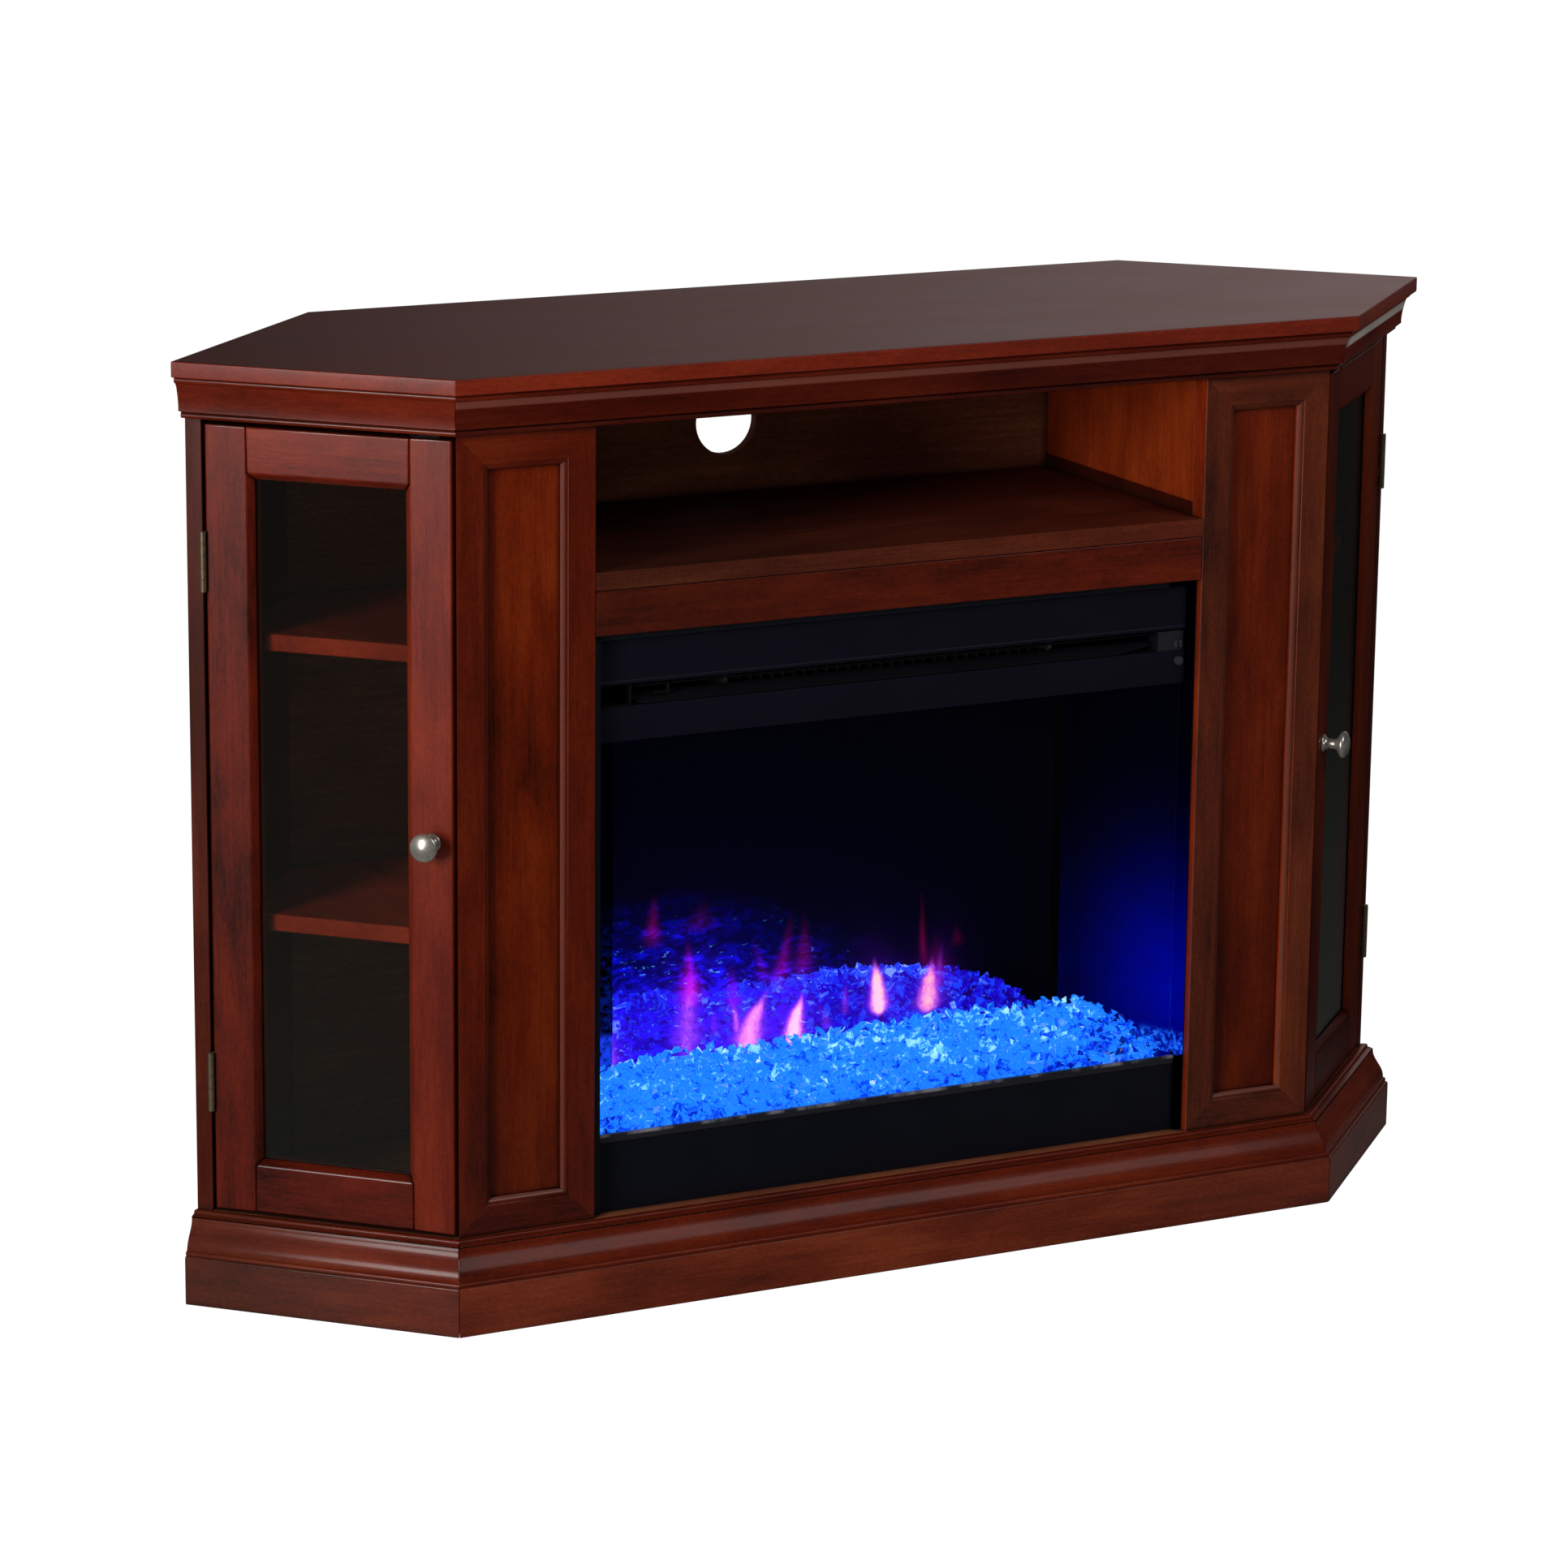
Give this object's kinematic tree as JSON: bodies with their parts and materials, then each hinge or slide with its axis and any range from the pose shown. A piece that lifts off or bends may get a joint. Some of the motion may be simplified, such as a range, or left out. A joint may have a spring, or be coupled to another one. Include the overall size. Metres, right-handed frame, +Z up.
{
  "type": "corner fireplace console",
  "caption": "Cherry-stained corner media console with glazed side doors, an open bay under its top board and an electric firebox with a crushed-glass ember bed.",
  "frame": {"origin": "middle of the footprint on the floor, halfway between the front of the base and the rear edge of the top board", "axes": "+X to the viewer's right along the front, +Y to the back where the room's corner is, +Z up"},
  "size_m": [1.2218, 0.382, 0.817],
  "materials": {
    "top_wood": "satin lacquer, dark cherry",
    "frame_wood": "satin lacquer, cherry stain",
    "moulding_wood": "satin lacquer, cherry stain",
    "plinth_wood": "satin lacquer, cherry stain",
    "panel_wood": "satin lacquer, cherry stain",
    "hidden_wood": "unfinished",
    "nickel": "nickel plated",
    "catch_plastic": "matt brown",
    "hinge_brass": "antique",
    "knob_metal": "antique pewter",
    "door_glass": "clear, lightly tinted",
    "black_steel": "matt black",
    "gloss_black_steel": "gloss black",
    "fire_glass": "clear, faint tint",
    "flame_screen_glass": "half-mirrored",
    "tray_plastic": "clear",
    "led_board": "white board",
    "rotor_steel": "bright",
    "grey_steel": "zinc coated",
    "control_plastic": "fine texture",
    "button_plastic": "fine texture",
    "ember_glass": "crushed, lit from below"
  },
  "bodies": {
    "cabinet": {"top_board": "top_wood", "head_rails": "frame_wood", "cornice_front": "moulding_wood", "cornice_sides": "moulding_wood", "plinth_front": "plinth_wood", "plinth_sides": "plinth_wood", "base_mould_front": "moulding_wood", "base_mould_sides": "moulding_wood", "sub_base_rails": "hidden_wood", "bottom_board": "panel_wood", "divider_left": "panel_wood", "divider_right": "panel_wood", "pilaster_frame_left": "frame_wood", "pilaster_frame_right": "frame_wood", "pilaster_panels": "panel_wood", "media_shelf": "panel_wood", "apron_rail": "frame_wood", "back_panel": "panel_wood", "end_panel_left": "panel_wood", "end_panel_right": "panel_wood", "shelves_left": "panel_wood", "shelves_right": "panel_wood", "shelf_pins": "nickel", "door_catches": "catch_plastic", "case_hinges": "hinge_brass", "firebox_case": "black_steel", "vent_hood": "black_steel", "lower_hood": "black_steel", "bottom_panel": "black_steel", "glass_channel": "gloss_black_steel", "front_glass": "fire_glass", "flame_screen": "flame_screen_glass", "side_liners": "black_steel", "ember_tray": "tray_plastic", "ember_glass_front": "ember_glass", "ember_glass_rear": "ember_glass", "light_strip": "led_board", "rotor_mounts": "grey_steel", "heater_box": "grey_steel", "heating_element": "rotor_steel", "blower_motor": "grey_steel", "air_deflector": "black_steel", "vent_brackets": "black_steel", "control_panel": "control_plastic", "cord_gland": "control_plastic"},
    "left_door": {"door_frame_left": "frame_wood", "door_glass_left": "door_glass", "glass_beads_left": "frame_wood", "door_knob_left": "knob_metal", "door_hardware_left": "hinge_brass"},
    "right_door": {"door_frame_right": "frame_wood", "door_glass_right": "door_glass", "glass_beads_right": "frame_wood", "door_knob_right": "knob_metal", "door_hardware_right": "hinge_brass"},
    "flame_rotor": {"flame_rotor": "rotor_steel"},
    "blower_wheel": {"blower_wheel": "rotor_steel"},
    "power_button": {"power_button": "button_plastic"},
    "heat_button": {"heat_button": "button_plastic"},
    "timer_button": {"timer_button": "button_plastic"}
  },
  "joints": [
    {"name": "left_door_hinge", "type": "hinge", "parent": "cabinet", "child": "left_door", "pos_m": [-0.58168, -0.00616, 0.42], "axis": [0, 0, -1], "range_deg": [0, 170]},
    {"name": "right_door_hinge", "type": "hinge", "parent": "cabinet", "child": "right_door", "pos_m": [0.58168, -0.00616, 0.42], "axis": [0, 0, 1], "range_deg": [0, 170]},
    {"name": "flame_rotor_spin", "type": "hinge", "parent": "cabinet", "child": "flame_rotor", "pos_m": [0, 0.002, 0.1085], "axis": [1, 0, 0], "continuous": true},
    {"name": "blower_wheel_spin", "type": "hinge", "parent": "cabinet", "child": "blower_wheel", "pos_m": [0, -0.081, 0.5467], "axis": [1, 0, 0], "continuous": true},
    {"name": "power_button_push", "type": "slide", "parent": "cabinet", "child": "power_button", "axis": [0, 1, 0], "range_m": [0, 0.002], "stiffness_N_per_m": 300},
    {"name": "heat_button_push", "type": "slide", "parent": "cabinet", "child": "heat_button", "axis": [0, 1, 0], "range_m": [0, 0.0015], "stiffness_N_per_m": 300},
    {"name": "timer_button_push", "type": "slide", "parent": "cabinet", "child": "timer_button", "axis": [0, 1, 0], "range_m": [0, 0.0015], "stiffness_N_per_m": 300}
  ]
}
